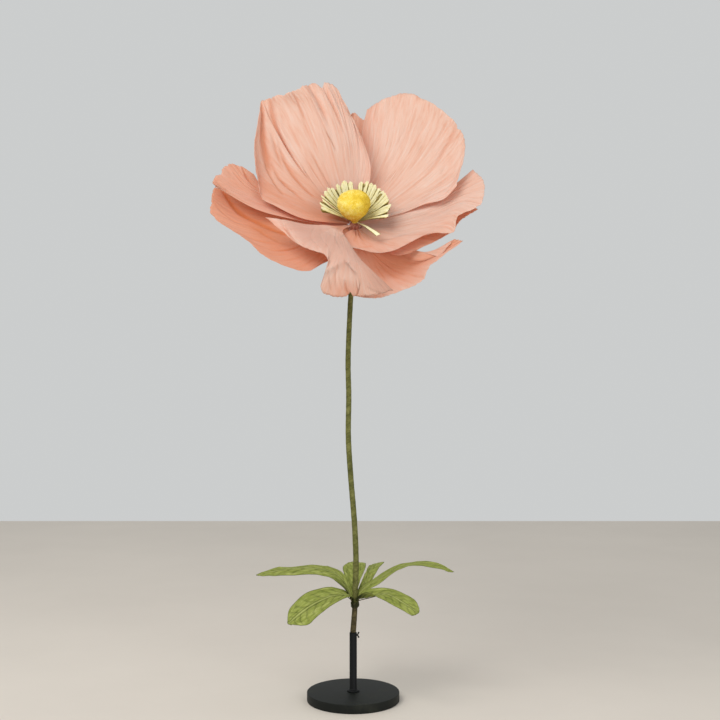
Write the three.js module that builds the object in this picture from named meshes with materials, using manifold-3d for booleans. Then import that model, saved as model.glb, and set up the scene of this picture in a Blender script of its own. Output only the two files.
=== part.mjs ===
// Giant paper flower on a weighted stand: one poppy-like bloom of folded crepe paper,
// six paper leaves, a wrapped stem rod and a black disc base with a socket and wing screw.
// Millimetres, +Z up, origin at the centre of the disc's underside, the bloom faces -Y.
import * as THREE from 'three';
import * as BufferGeometryUtils from 'three/addons/utils/BufferGeometryUtils.js';
import Module from 'manifold-3d';

const wasm = await Module();
wasm.setup();

// Driving dimensions.
const GAP = 0.3;                  // air left between pieces that touch
const PAPER = 0.8;                // thickness of petals, leaves and fringe
const BASE_RADIUS = 110;
const BASE_HEIGHT = 21;
const BASE_CHAMFER = 1.2;
const ROD_RADIUS = 4;             // steel rod that carries the bloom
const WRAP_RADIUS = 6.3;          // outside of the tape wound on the rod
const SOCKET_RADIUS = 8.8;
const SOCKET_TOP = 161;           // height of the socket's mouth over the floor
const COLLAR_RADIUS = 15;
const COLLAR_HEIGHT = 3;
const SCREW_RADIUS = 2;
const SCREW_DROP = 6;             // wing screw below the socket's mouth
const SCREW_NECK = 3;             // clear shank between the socket and the wings
const WING_LENGTH = 7.5;
const WING_TIP_RADIUS = 2;
const WING_ROOT_RADIUS = 1.4;
const WING_SPREAD = Math.PI / 7;  // each wing away from the socket's side
const LEAF_HEIGHT = 232;          // where the leaves are bound to the stem
const LEAF_LEAN = 3.8 / 71;       // sideways per mm of height from the socket's mouth to there
const LEAF_SCALE = 1;
const LEAF_WIRE_RADIUS = 1;
const SLEEVE_LENGTH = 13;         // tape that binds the leaves' wires to the stem
const SLEEVE_WALL = 1;
const HUB_HEIGHT = 1124;          // bloom's hub over the floor
const HUB_X = 4.7;
const HUB_FORWARD = 83;           // hub in front of the stem
const BLOOM_TILT = THREE.MathUtils.degToRad(42);
const BLOOM_SCALE = 1;
const HUB_RADIUS = 13.3;
const PISTIL_LENGTH = 81 * BLOOM_SCALE;
const PISTIL_RADIUS = 38.5 * BLOOM_SCALE;
const PISTIL_LEAN = THREE.MathUtils.degToRad(-3);
const FRINGE_LENGTH = 91 * BLOOM_SCALE;
const FRINGE_RISE = 0.5;          // radians over the flower's plane
const FRINGE_RIDGE = 5;           // fold along the middle of each strip
const SLIT_FOOT = 0.22;           // share of a strip that stays joined to its neighbours
const NECK_LENGTH = 161;          // height over which the stem bends to the bloom
const LOOSE_HEADING = -55;         // where the loose strip points, in degrees
const WRAP_SEAM_DROP = 8;         // the olive tape starts this far below the leaves

// Sizes worked out from them.
const ROD_CLEAR = ROD_RADIUS + 3 * GAP;
const SOCKET_BORE = ROD_RADIUS + 2 * GAP;
const SOCKET_FOOT = BASE_HEIGHT + GAP;
const SCREW_HEIGHT = SOCKET_TOP - SCREW_DROP;
const LEAF_X = LEAF_LEAN * (LEAF_HEIGHT - SOCKET_TOP);
const PETAL_FOOT = HUB_RADIUS + GAP + PAPER / 2;
const HUB_TOP = 5;                // the hub's ends along the bloom's axis
const HUB_BOTTOM = -24;
const HUB_SHOULDER = 3;
const ROD_END = HUB_BOTTOM + 14;
const BINDING_BOTTOM = -62;
const BINDING_LIP = 1.5;
const STAMEN_LEVEL = HUB_TOP + 4;
const PISTIL_FOOT_SHARE = 0.19;   // the pistil's foot as a share of its radius
const WIRE_RING = WRAP_RADIUS + 3 * GAP + LEAF_WIRE_RADIUS;
const SLEEVE_BORE = WIRE_RING + LEAF_WIRE_RADIUS + 2 * GAP;

const PAINT = { color: 0x1c1f1b, roughness: 0.55, metalness: 0.6 };
const STEEL = { color: 0x8c8f91, roughness: 0.4, metalness: 0.9 };
const OLIVE = { color: 0x75703a, roughness: 0.9, metalness: 0 };
const BROWN = { color: 0x4b3c1e, roughness: 0.9, metalness: 0 };
const GREEN = { color: 0x9fae48, roughness: 0.85, metalness: 0 };
const YELLOW = { color: 0xe6c132, roughness: 0.85, metalness: 0 };
const STRAW = { color: 0xefe69a, roughness: 0.85, metalness: 0 };
const PEACH = { color: 0xe8b89f, roughness: 0.85, metalness: 0 };

// Each petal is a sheet through hand-set ribs. A rib runs from the hub outward and lists
// [across, up, lift] in the bloom's own frame: lift is measured over the flower's plane.
const PETALS = {
  petal_back_left: { level: 0, ribs: [
    [[-115, 5, 10], [-190, 35, 30], [-215, 45, 40], [-220, 65, 60]],
    [[-85, 55, 20], [-180, 100, 55], [-230, 135, 90], [-235, 145, 120]],
    [[-75, 75, 30], [-150, 160, 85], [-200, 235, 130], [-225, 290, 160]],
    [[-50, 95, 30], [-95, 195, 105], [-130, 260, 155], [-160, 280, 185]],
    [[-25, 100, 35], [-50, 185, 110], [-80, 260, 160], [-105, 315, 190]],
    [[-5, 100, 35], [-10, 180, 100], [-30, 250, 150], [-55, 330, 180]],
    [[5, 85, 30], [10, 155, 80], [5, 205, 115], [-25, 275, 160]],
    [[15, 65, 25], [35, 105, 50], [35, 140, 80], [15, 195, 115]],
  ] },
  petal_back_right: { level: -3, ribs: [
    [[10, 95, 15], [15, 175, 50], [15, 250, 85], [30, 330, 110]],
    [[25, 115, 20], [50, 205, 70], [60, 280, 110], [70, 330, 140]],
    [[45, 115, 20], [95, 200, 75], [115, 270, 120], [130, 340, 150]],
    [[70, 95, 20], [135, 170, 70], [180, 245, 115], [195, 280, 150]],
    [[85, 70, 20], [165, 125, 60], [220, 190, 95], [250, 215, 125]],
    [[105, 45, 15], [180, 75, 45], [235, 110, 70], [260, 165, 95]],
    [[110, 30, 10], [160, 35, 30], [205, 35, 45], [235, 60, 65]],
  ] },
  petal_right: { level: -6, ribs: [
    [[95, 40, 5], [175, 70, 20], [235, 105, 40], [280, 145, 55]],
    [[100, 15, 5], [185, 40, 25], [250, 65, 45], [300, 75, 65]],
    [[100, -5, 5], [185, 15, 20], [245, 30, 40], [285, -10, 60]],
    [[95, -30, 5], [170, -15, 20], [220, -10, 35], [235, -25, 40]],
    [[80, -45, 0], [150, -40, 10], [200, -50, 25], [220, -75, 30]],
    [[50, -55, -5], [100, -60, 5], [145, -65, 10], [165, -65, 20]],
    [[10, -50, 0], [35, -85, 0], [60, -110, 0], [85, -100, 0]],
    [[-10, -25, 0], [-36, -46, 0], [-26, -78, 0], [5, -95, 0]],
  ] },
  petal_left: { level: -9, ribs: [
    [[-80, 50, 0], [-165, 90, 20], [-220, 105, 40], [-240, 120, 60]],
    [[-85, 40, 0], [-175, 80, 20], [-240, 105, 45], [-275, 135, 75]],
    [[-85, 30, 0], [-180, 65, 15], [-255, 85, 45], [-305, 125, 80]],
    [[-85, 20, -5], [-185, 50, 10], [-265, 60, 40], [-330, 70, 75]],
    [[-75, 5, -5], [-150, 15, 5], [-230, 25, 25], [-325, 65, 60]],
  ] },
  petal_front_left: { level: -15, ribs: [
    [[-80, 45, -10], [-175, 65, -5], [-270, 90, 15], [-335, 95, 40]],
    [[-85, 25, -10], [-185, 30, -10], [-280, 45, 0], [-335, 55, 35]],
    [[-85, 5, -15], [-180, -10, -15], [-255, -15, 0], [-330, 5, 20]],
    [[-75, -20, -15], [-155, -60, -15], [-210, -75, -5], [-250, -70, 10]],
    [[-60, -40, -10], [-115, -90, -15], [-155, -120, -10], [-195, -130, 0]],
    [[-40, -55, -10], [-70, -105, -15], [-95, -140, -15], [-110, -165, -10]],
    [[-10, -65, -10], [-30, -100, -10], [-45, -115, -10], [-65, -120, -10]],
  ] },
  petal_front: { level: 3, ribs: [
    [[-44, -28, 14], [-72, -40, 25], [-112, -45, 31], [-160, -40, 40], [-205, -30, 40]],
    [[-42, -31, 14], [-62, -62, 27], [-86, -92, 35], [-112, -108, 36], [-120, -125, 30]],
    [[-40, -33, 14], [-50, -76, 28], [-54, -118, 35], [-60, -148, 36], [-60, -170, 30]],
    [[-38, -35, 14], [-41, -84, 28], [-42, -138, 36], [-55, -174, 20], [-75, -206, -24]],
    [[-36, -37, 14], [-33, -88, 28], [-27, -158, 37], [-35, -190, 6], [-52, -216, -42]],
    [[-34, -39, 14], [-27, -91, 28], [-11, -174, 37], [-5, -202, 8], [-2, -221, -38]],
    [[-32, -41, 14], [-22, -93, 27], [0, -174, 34], [10, -206, 14], [18, -231, -30]],
    [[-30, -43, 14], [-19, -95, 26], [7, -171, 31], [26, -207, 17], [49, -237, -20]],
    [[-28, -45, 14], [-16, -98, 25], [11, -170, 30], [42, -208, 20], [85, -235, -10]],
  ] },
  petal_front_right: { level: -18, ribs: [
    [[55, -45, -15], [95, -60, -20], [140, -75, -20], [190, -115, -10]],
    [[50, -45, -15], [100, -60, -25], [155, -90, -20], [224, -86, 20]],
    [[45, -50, -15], [100, -70, -35], [155, -105, -25], [242, -94, 20]],
    [[35, -60, -15], [85, -85, -45], [135, -100, -45], [170, -145, -10]],
    [[20, -60, -15], [70, -90, -55], [115, -125, -55], [150, -175, -30]],
    [[10, -60, -15], [45, -95, -55], [75, -140, -60], [105, -190, -45]],
    [[0, -60, -15], [20, -100, -50], [35, -145, -60], [50, -205, -55]],
    [[-5, -60, -10], [0, -95, -45], [-5, -135, -60], [-5, -190, -60]],
  ] },
  petal_right_outer: { level: -12, ribs: [
    [[95, 20, -5], [180, 60, 0], [250, 60, 15], [285, 15, 30]],
    [[90, -5, -5], [165, 15, -5], [225, 15, 5], [245, -5, 15]],
    [[80, -30, -10], [145, -20, -10], [195, -30, 0], [215, -45, 5]],
    [[55, -50, -10], [105, -60, -10], [140, -75, -10], [155, -75, -10]],
    [[35, -60, -10], [65, -85, -15], [95, -100, -15], [120, -95, -15]],
  ] },
  petal_back_outer: { level: -20, ribs: [
    [[-35, 115, 0], [-50, 225, 30], [-50, 315, 60], [-25, 330, 75]],
    [[-20, 125, 0], [-25, 240, 30], [-15, 335, 60], [-5, 370, 80]],
    [[-5, 125, 0], [10, 240, 30], [15, 315, 60], [15, 350, 75]],
    [[15, 115, 0], [45, 220, 30], [60, 290, 60], [45, 330, 70]],
  ] },
};

// Leaves: one edge, the midrib, the other edge, as [x, y, z] from the binding's centre.
const LEAVES = {
  left: [
    [[-7, 0, 30], [-33, 20, 70], [-104, 45, 87], [-182, 38, 78], [-232, 12, 67]],
    [[-11, -10, 27], [-45, 0, 68], [-105, 10, 80], [-176, 14, 75], [-236, 8, 64]],
    [[-14, -20, 24], [-56, -25, 63], [-101, -28, 72], [-172, -16, 67], [-231, 4, 62]],
  ],
  front_left: [
    [[-9, -5, 21], [-58, -30, 43], [-112, -80, 39], [-146, -130, 15], [-151, -160, -7]],
    [[-7, -14, 19], [-51, -58, 28], [-97, -110, 18], [-130, -148, 1], [-149, -165, -13]],
    [[-8, -21, 17], [-36, -78, 20], [-76, -135, 5], [-104, -165, -14], [-139, -172, -13]],
  ],
  back: [
    [[-9, 8, 23], [-23, 50, 51], [-30, 100, 66], [-15, 150, 70]],
    [[-2, 12, 13], [-2, 50, 39], [-2, 100, 59], [-3, 155, 70]],
    [[4, 8, 23], [16, 50, 51], [26, 100, 65], [27, 150, 69]],
  ],
  back_right: [
    [[5, 17, 19], [18, 50, 45], [28, 95, 58], [36, 130, 66]],
    [[6, 15, 17], [25, 44, 40], [39, 86, 64], [51, 131, 70]],
    [[10, 10, 18], [34, 30, 36], [56, 68, 65], [75, 127, 77]],
  ],
  right: [
    [[8, 6, 26], [41, 22, 49], [95, 42, 78], [143, 44, 89], [195, 24, 91], [233, 12, 74]],
    [[10, 0, 23], [46, 6, 48], [94, 14, 76], [142, 18, 90], [194, 14, 86], [237, 10, 71]],
    [[12, -5, 19], [53, -10, 44], [100, -15, 78], [141, -10, 90], [196, 2, 81], [230, 8, 70]],
  ],
  front_right: [
    [[8, -8, 13], [29, -20, 36], [87, -42, 41], [135, -80, 26], [150, -116, 8]],
    [[6, -13, 9], [31, -36, 20], [73, -66, 34], [113, -100, 20], [146, -121, 2]],
    [[5, -18, 15], [27, -50, 34], [63, -90, 27], [103, -122, 11], [135, -126, -6]],
  ],
};

// The stem's gentle sway over the leaves: [share of the way up to the neck, x].
const SWAY = [[0.13, 6.7], [0.262, 2.9], [0.407, -5.7], [0.539, -11.5], [0.671, -10.6],
  [0.802, -12], [1, -5.7]];
const STATIONS = 56;              // steps of the stem from floor to hub
const END_CLEAR = 4;              // a stretch of the stem drops stations this near its ends

function splineThrough(points) {
  return new THREE.CatmullRomCurve3(points, false, 'catmullrom', 0.5);
}

function meshOf(name, geometry, finish) {
  const mesh = new THREE.Mesh(geometry, new THREE.MeshStandardMaterial(finish));
  mesh.name = name;
  return mesh;
}

function weld(geometry) {
  geometry.deleteAttribute('normal');
  geometry.deleteAttribute('uv');
  return BufferGeometryUtils.mergeVertices(geometry, 1e-3);
}

function toSolid(geometry) {
  const closed = weld(geometry);
  return new wasm.Manifold(new wasm.Mesh({
    numProp: 3,
    vertProperties: new Float32Array(closed.attributes.position.array),
    triVerts: new Uint32Array(closed.index.array),
  }));
}

function fromSolid(solid) {
  const mesh = solid.getMesh();
  const geometry = new THREE.BufferGeometry();
  geometry.setAttribute('position', new THREE.BufferAttribute(mesh.vertProperties, 3));
  geometry.setIndex(new THREE.BufferAttribute(mesh.triVerts, 1));
  return geometry;
}

function turned(profile, sides) {
  return new THREE.LatheGeometry(profile.map(([r, z]) => new THREE.Vector2(r, z)), sides)
    .rotateX(Math.PI / 2);
}

// A flat box of one layer whose two walls are cut into triangles along the same diagonals,
// so that a twist can't push one wall through the other.
function sheetBox(columns, rows) {
  const geometry = new THREE.BoxGeometry(1, 1, 1, columns, rows, 1);
  const back = geometry.groups.at(-1);
  for (let i = back.start; i < back.start + back.count; i += 6) {
    const [a, b, d, , c] = [0, 1, 2, 3, 4].map((k) => geometry.index.getX(i + k));
    [a, b, c, a, c, d].forEach((corner, k) => geometry.index.setX(i + k, corner));
  }
  return weld(geometry);
}

// A sheet of even thickness whose middle follows surface(u, v), with u and v from 0 to 1.
function sheet(surface, columns, rows, thickness) {
  const geometry = sheetBox(columns, rows);
  const place = geometry.attributes.position;
  const step = 1e-3;
  for (let i = 0; i < place.count; i += 1) {
    const u = place.getX(i) + 0.5;
    const v = place.getY(i) + 0.5;
    const across = surface(Math.min(u + step, 1), v).sub(surface(Math.max(u - step, 0), v));
    const along = surface(u, Math.min(v + step, 1)).sub(surface(u, Math.max(v - step, 0)));
    const out = across.cross(along).normalize().multiplyScalar(place.getZ(i) * thickness);
    const point = surface(u, v).add(out);
    place.setXYZ(i, point.x, point.y, point.z);
  }
  return geometry;
}

// The smooth surface through a set of ribs, each a list of points from foot to tip.
function ribbed(ribs) {
  const curves = ribs.map((rib) => splineThrough(rib));
  return (u, v) => splineThrough(curves.map((curve) => curve.getPoint(v))).getPoint(u);
}

function tubeAlong(points, radius, bore, steps, sides) {
  const shape = new THREE.Shape().absarc(0, 0, radius, 0, 2 * Math.PI, false);
  if (bore > 0) {
    shape.holes.push(new THREE.Path().absarc(0, 0, bore, 0, 2 * Math.PI, true));
  }
  return new THREE.ExtrudeGeometry(shape, {
    steps, bevelEnabled: false, extrudePath: splineThrough(points), curveSegments: sides / 2,
  });
}

// The stem's centre line, from the base up to the bloom's hub.
const hub = new THREE.Vector3(HUB_X, -HUB_FORWARD, HUB_HEIGHT);
const bloomAxis = new THREE.Vector3(0, -Math.sin(BLOOM_TILT), Math.cos(BLOOM_TILT));
const onAxis = (distance) => hub.clone().addScaledVector(bloomAxis, distance);
const straightTop = HUB_HEIGHT - NECK_LENGTH;
const neckEnd = onAxis(BINDING_BOTTOM);
const stemLine = splineThrough([
  ...[0, SOCKET_TOP / 2, SOCKET_TOP - 16, SOCKET_TOP + 3].map((z) => new THREE.Vector3(0, 0, z)),
  ...[-15, 9].map((z) => new THREE.Vector3(LEAF_X, 0, LEAF_HEIGHT + z)),
  ...SWAY.map(([share, x]) => new THREE.Vector3(
    x, 0, LEAF_HEIGHT + share * (straightTop - LEAF_HEIGHT))),
  new THREE.Vector3((SWAY.at(-1)[1] + 2 * HUB_X) / 3, neckEnd.y * 0.22,
    straightTop + (neckEnd.z - straightTop) * 0.52),
  ...[BINDING_BOTTOM - 12, BINDING_BOTTOM - 2, BINDING_BOTTOM + 18, HUB_BOTTOM - 4, ROD_END].map(onAxis),
]);
const stations = [];
for (let i = 0; i <= STATIONS; i += 1) stations.push(stemLine.getPointAt(i / STATIONS));

// A stretch of the stem between two heights, through the stations that it passes.
function stemStretch(low, high) {
  const between = stations.filter((point) => point.z > low + END_CLEAR && point.z < high - END_CLEAR);
  const pointAt = (height) => {
    const next = stations.findIndex((point) => point.z > height);
    const [a, b] = [stations[next - 1], stations[next]];
    return a.clone().lerp(b, (height - a.z) / (b.z - a.z));
  };
  return [pointAt(low), ...between, pointAt(high)];
}

function basePlate() {
  return turned([
    [0, 0], [BASE_RADIUS - BASE_CHAMFER, 0], [BASE_RADIUS, BASE_CHAMFER],
    [BASE_RADIUS, BASE_HEIGHT - BASE_CHAMFER], [BASE_RADIUS - BASE_CHAMFER, BASE_HEIGHT],
    [0, BASE_HEIGHT],
  ], 48);
}

function socket() {
  const body = toSolid(turned([
    [SOCKET_BORE, SOCKET_FOOT], [COLLAR_RADIUS, SOCKET_FOOT],
    [COLLAR_RADIUS - 1, SOCKET_FOOT + COLLAR_HEIGHT],
    [SOCKET_RADIUS + 1, SOCKET_FOOT + COLLAR_HEIGHT],
    [SOCKET_RADIUS, SOCKET_FOOT + 2 * COLLAR_HEIGHT],
    [SOCKET_RADIUS, SOCKET_TOP], [SOCKET_BORE, SOCKET_TOP], [SOCKET_BORE, SOCKET_FOOT],
  ], 24));
  const drill = new THREE.CylinderGeometry(SCREW_RADIUS + GAP, SCREW_RADIUS + GAP, 2 * SOCKET_RADIUS, 16)
    .rotateZ(Math.PI / 2)
    .translate(SOCKET_RADIUS + SOCKET_BORE / 2, 0, SCREW_HEIGHT);
  return fromSolid(body.subtract(toSolid(drill)));
}

function wingScrew() {
  const tip = ROD_RADIUS + GAP;
  const neck = SOCKET_RADIUS + SCREW_NECK;
  let solid = toSolid(new THREE.CylinderGeometry(SCREW_RADIUS, SCREW_RADIUS, neck - tip, 16)
    .rotateZ(Math.PI / 2)
    .translate((neck + tip) / 2, 0, SCREW_HEIGHT));
  for (const side of [1, -1]) {
    const wing = new THREE.CylinderGeometry(WING_TIP_RADIUS, WING_ROOT_RADIUS, WING_LENGTH, 12)
      .scale(1, 1, 0.5)
      .translate(0, WING_LENGTH / 2, 0)
      .rotateX(Math.PI / 2)
      .rotateY(WING_SPREAD);
    if (side < 0) wing.rotateX(Math.PI);
    wing.translate(neck - SCREW_NECK / 2, 0, SCREW_HEIGHT);
    solid = solid.add(toSolid(wing));
  }
  return fromSolid(solid);
}

function bloomHub() {
  return turned([
    [0, ROD_END + GAP], [ROD_CLEAR, ROD_END + GAP], [ROD_CLEAR, HUB_BOTTOM],
    [HUB_RADIUS, HUB_BOTTOM], [HUB_RADIUS, HUB_TOP - HUB_SHOULDER / 2],
    [HUB_RADIUS - HUB_SHOULDER, HUB_TOP], [0, HUB_TOP],
  ], 32);
}

function bloomBinding() {
  const bore = WRAP_RADIUS + 3 * GAP;
  const top = HUB_BOTTOM - GAP;
  return turned([
    [bore, BINDING_BOTTOM], [bore + BINDING_LIP, BINDING_BOTTOM], [HUB_RADIUS - 2, top - 12],
    [HUB_RADIUS, top], [bore, top], [bore, BINDING_BOTTOM],
  ], 24);
}

// The pear-shaped heart of the bloom, standing on the hub.
function pistil() {
  const outline = [[0, 0.01], [PISTIL_FOOT_SHARE, 0.01], [PISTIL_FOOT_SHARE, 0.1], [0.4, 0.2],
    [0.7, 0.36], [0.93, 0.53], [1, 0.67], [0.91, 0.82], [0.66, 0.93], [0.34, 0.985], [0, 1]];
  return turned(outline.map(([r, z]) => [r * PISTIL_RADIUS, z * PISTIL_LENGTH]), 28);
}

// A comb of stamens: a fan of strips cut from one sheet and still joined at the foot.
function fringe(fromAngle, toAngle, strips) {
  const footRadius = PISTIL_FOOT_SHARE * PISTIL_RADIUS + PAPER / 2 + GAP;
  const point = (u, v) => {
    const place = u * strips;
    const part = place - Math.floor(place + 1e-9);
    const slit = part < 0.02 || part > 0.98;
    const reach = v * (slit ? SLIT_FOOT : 1);
    const ridge = (0.5 - Math.abs(part - 0.5)) * FRINGE_RIDGE * reach;
    const angle = THREE.MathUtils.degToRad(fromAngle + (toAngle - fromAngle) * u);
    const out = footRadius + reach * FRINGE_LENGTH * Math.cos(FRINGE_RISE);
    const lift = STAMEN_LEVEL + reach * FRINGE_LENGTH * Math.sin(FRINGE_RISE) + ridge;
    return new THREE.Vector3(out * Math.cos(angle), out * Math.sin(angle), lift);
  };
  const stops = [0, 0.04, 0.5, 0.96];
  const columns = strips * stops.length;
  const spread = (u) => {
    const column = Math.round(u * columns);
    return (Math.floor(column / stops.length) + stops[column % stops.length]) / strips;
  };
  const geometry = sheetBox(columns, 3);
  const place = geometry.attributes.position;
  for (let i = 0; i < place.count; i += 1) {
    const spot = point(spread(place.getX(i) + 0.5), place.getY(i) + 0.5);
    spot.z -= place.getZ(i) * PAPER;
    place.setXYZ(i, spot.x, spot.y, spot.z);
  }
  return geometry;
}

// One strip that has come away from its comb: its half width and lift at each reach.
function looseStrip() {
  const knots = [[7.5, 2, 0], [40, 3.5, 9], [68, 5, 13], [92, 6.5, 14]];
  const ribs = [1, -1].map((side) => knots.map(([reach, halfWidth, lift]) => new THREE.Vector3(
    reach * BLOOM_SCALE, side * halfWidth, STAMEN_LEVEL + lift * BLOOM_SCALE)));
  return sheet(ribbed(ribs), 2, 8, PAPER).rotateZ(THREE.MathUtils.degToRad(LOOSE_HEADING));
}

function petal({ level, ribs }) {
  const placed = ribs.map((rib) => {
    const knots = rib.map(([x, y, z]) => new THREE.Vector3(x, y, z).multiplyScalar(BLOOM_SCALE));
    const heading = Math.atan2(rib[0][1], rib[0][0]);
    const foot = new THREE.Vector3(
      PETAL_FOOT * Math.cos(heading), PETAL_FOOT * Math.sin(heading), level);
    return [foot, ...knots];
  });
  return sheet(ribbed(placed), 12, 10, PAPER);
}

// A leaf grows from its foot, which stays where it is bound.
function leafRibs(ribs) {
  return ribs.map((rib) => {
    const knots = rib.map(([x, y, z]) => new THREE.Vector3(x, y, z));
    return knots.map((knot) => knot.lerpVectors(knots[0].clone(), knot, LEAF_SCALE));
  });
}

function leaf(ribs) {
  return sheet(ribbed(leafRibs(ribs)), 4, 10, PAPER);
}

// A wire glued under the leaf's midrib, whose foot is bound to the stem.
function leafWire(ribs) {
  const surface = ribbed(leafRibs(ribs));
  const drop = PAPER / 2 + 3 * GAP + LEAF_WIRE_RADIUS;
  const reaches = [0.06, 0.13, 0.2, 0.3, 0.4, 0.5, 0.6, 0.7, 0.8, 0.9];
  const points = reaches.map((v) => {
    const across = surface(0.55, v).sub(surface(0.45, v));
    const along = surface(0.5, v + 0.02).sub(surface(0.5, v - 0.02));
    const down = across.cross(along).normalize();
    if (down.z > 0) down.negate();
    return surface(0.5, v).addScaledVector(down, drop);
  });
  const heading = Math.atan2(ribs[1][1][1], ribs[1][1][0]);
  const foot = [-10, -5, 0, 4].map((z) => new THREE.Vector3(
    Math.cos(heading) * WIRE_RING, Math.sin(heading) * WIRE_RING, z));
  return tubeAlong([...foot, ...points], LEAF_WIRE_RADIUS, 0, 24, 6);
}

function leafSleeve() {
  const [low, high] = [1 - SLEEVE_LENGTH, 1];
  const outside = SLEEVE_BORE + SLEEVE_WALL;
  return turned([
    [SLEEVE_BORE, low], [outside, low], [outside, high], [SLEEVE_BORE, high], [SLEEVE_BORE, low],
  ], 20);
}

const flower = new THREE.Group();
flower.add(meshOf('base_plate', basePlate(), PAINT));
flower.add(meshOf('stem_socket', socket(), PAINT));
flower.add(meshOf('wing_screw', wingScrew(), PAINT));

const wrapSeam = LEAF_HEIGHT - WRAP_SEAM_DROP;
const rodPoints = stemStretch(SOCKET_FOOT + 2, onAxis(ROD_END).z - 0.01);
const lowerPoints = stemStretch(SOCKET_TOP + 2 * GAP, wrapSeam - 2 * GAP);
const upperPoints = stemStretch(wrapSeam, onAxis(HUB_BOTTOM - 2).z);
flower.add(meshOf('stem_rod', tubeAlong(rodPoints, ROD_RADIUS, 0, rodPoints.length - 1, 8), STEEL));
flower.add(meshOf('stem_wrap_lower',
  tubeAlong(lowerPoints, WRAP_RADIUS, ROD_CLEAR, lowerPoints.length - 1, 10), BROWN));
flower.add(meshOf('stem_wrap_upper',
  tubeAlong(upperPoints, WRAP_RADIUS, ROD_CLEAR, upperPoints.length - 1, 10), OLIVE));

const foliage = new THREE.Group();
foliage.position.set(LEAF_X, 0, LEAF_HEIGHT);
foliage.add(meshOf('leaf_sleeve', leafSleeve(), OLIVE));
for (const [name, ribs] of Object.entries(LEAVES)) {
  foliage.add(meshOf(`leaf_${name}`, leaf(ribs), GREEN));
  foliage.add(meshOf(`leaf_wire_${name}`, leafWire(ribs), OLIVE));
}
flower.add(foliage);

const bloom = new THREE.Group();
bloom.position.copy(hub);
bloom.rotation.x = BLOOM_TILT;
bloom.add(meshOf('bloom_hub', bloomHub(), BROWN));
bloom.add(meshOf('bloom_binding', bloomBinding(), OLIVE));
for (const [name, shape] of Object.entries(PETALS)) {
  bloom.add(meshOf(name, petal(shape), PEACH));
}
const heart = meshOf('pistil', pistil(), YELLOW);
heart.position.z = HUB_TOP + GAP;
heart.rotation.y = PISTIL_LEAN;
bloom.add(heart);
bloom.add(meshOf('stamen_fringe_right', fringe(-27, 84, 10), STRAW));
bloom.add(meshOf('stamen_fringe_left', fringe(92, 187, 9), STRAW));
bloom.add(meshOf('stamen_strip_loose', looseStrip(), STRAW));
flower.add(bloom);

export default flower;
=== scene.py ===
from math import atan2, cos, exp, pi, radians, sin

import bmesh
import bpy
from mathutils import Matrix, Vector, noise


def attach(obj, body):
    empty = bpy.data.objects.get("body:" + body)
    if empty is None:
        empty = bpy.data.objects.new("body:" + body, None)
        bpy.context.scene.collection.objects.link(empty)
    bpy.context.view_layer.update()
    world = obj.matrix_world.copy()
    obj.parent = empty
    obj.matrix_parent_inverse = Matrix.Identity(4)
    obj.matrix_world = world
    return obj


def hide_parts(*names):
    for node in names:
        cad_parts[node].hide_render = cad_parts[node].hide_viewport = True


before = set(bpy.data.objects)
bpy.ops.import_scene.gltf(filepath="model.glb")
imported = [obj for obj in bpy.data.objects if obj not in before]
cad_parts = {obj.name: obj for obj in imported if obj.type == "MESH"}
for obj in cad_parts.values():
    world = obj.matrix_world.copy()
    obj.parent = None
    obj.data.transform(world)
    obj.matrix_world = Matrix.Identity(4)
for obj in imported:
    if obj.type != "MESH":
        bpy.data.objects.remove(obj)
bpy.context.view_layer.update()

mm = 0.001
print("frame loaded")


# shader maths

class Amount:
    # a socket that can be added, multiplied and so on like a plain number
    def __init__(self, recipe, socket):
        self.recipe = recipe
        self.socket = socket

    def __add__(self, other):
        return self.recipe.maths("ADD", self, other)

    def __sub__(self, other):
        return self.recipe.maths("SUBTRACT", self, other)

    def __rsub__(self, other):
        return self.recipe.maths("SUBTRACT", other, self)

    def __mul__(self, other):
        return self.recipe.maths("MULTIPLY", self, other)

    def __truediv__(self, other):
        return self.recipe.maths("DIVIDE", self, other)


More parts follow.
